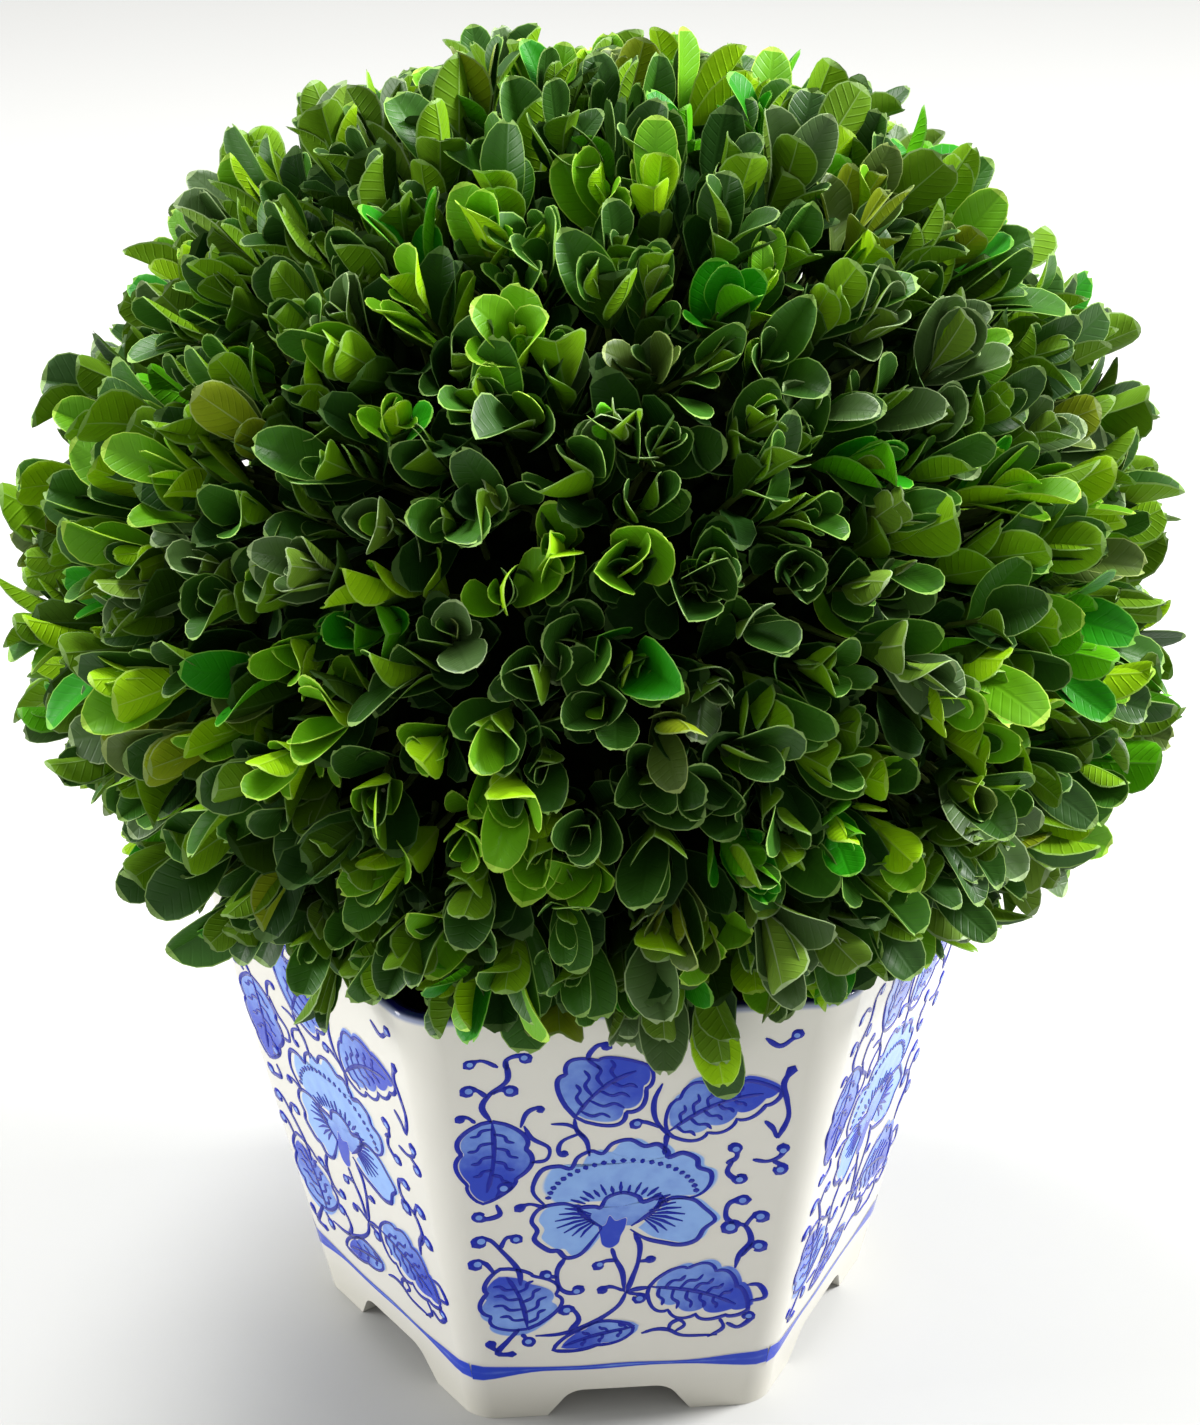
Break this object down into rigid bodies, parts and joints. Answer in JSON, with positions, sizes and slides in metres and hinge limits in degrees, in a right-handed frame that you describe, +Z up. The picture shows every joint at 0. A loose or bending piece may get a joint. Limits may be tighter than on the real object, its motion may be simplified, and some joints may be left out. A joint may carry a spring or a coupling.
{
  "type": "box topiary ball in a hexagonal porcelain pot",
  "caption": "Clipped ball of box foliage on a short hidden stem, in a tapered hexagonal glazed pot with low corner feet and blue leaf and flower decoration.",
  "frame": {"origin": "on the ground, under the middle of the pot", "axes": "+Z up the stem, -Y out of the pot's front face"},
  "size_m": [0.282, 0.282, 0.34],
  "materials": {
    "porcelain": "gloss",
    "compost": "matte",
    "bark": "matte",
    "foliage": "satin"
  },
  "bodies": {
    "root": {"pot_body": "porcelain", "pot_foot_1": "porcelain", "pot_foot_2": "porcelain", "pot_foot_3": "porcelain", "pot_foot_4": "porcelain", "pot_foot_5": "porcelain", "pot_foot_6": "porcelain", "compost": "compost", "stem": "bark", "foliage_ball": "foliage"}
  },
  "joints": []
}
